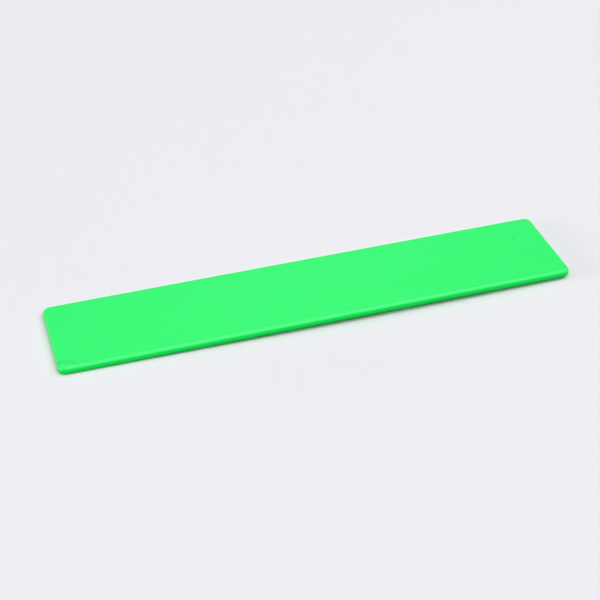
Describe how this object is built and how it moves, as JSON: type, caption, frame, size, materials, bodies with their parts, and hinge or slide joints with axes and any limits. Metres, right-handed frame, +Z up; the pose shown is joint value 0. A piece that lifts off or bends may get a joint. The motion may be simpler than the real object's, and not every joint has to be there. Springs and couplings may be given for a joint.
{
  "type": "straight slide",
  "caption": "Flat straight slide strip for toy play: a thin moulded plastic plate with rounded corners and a rounded rim round its sliding face.",
  "frame": {"origin": "middle of the underside, on the surface that the strip lies on", "axes": "+X along the strip, +Y across it, +Z up out of the sliding face"},
  "size_m": [0.1, 0.021, 0.0015],
  "materials": {
    "green_plastic": "bright green moulded plastic, smooth with a soft gloss"
  },
  "bodies": {
    "root": {"slide_strip": "green_plastic"}
  },
  "joints": []
}
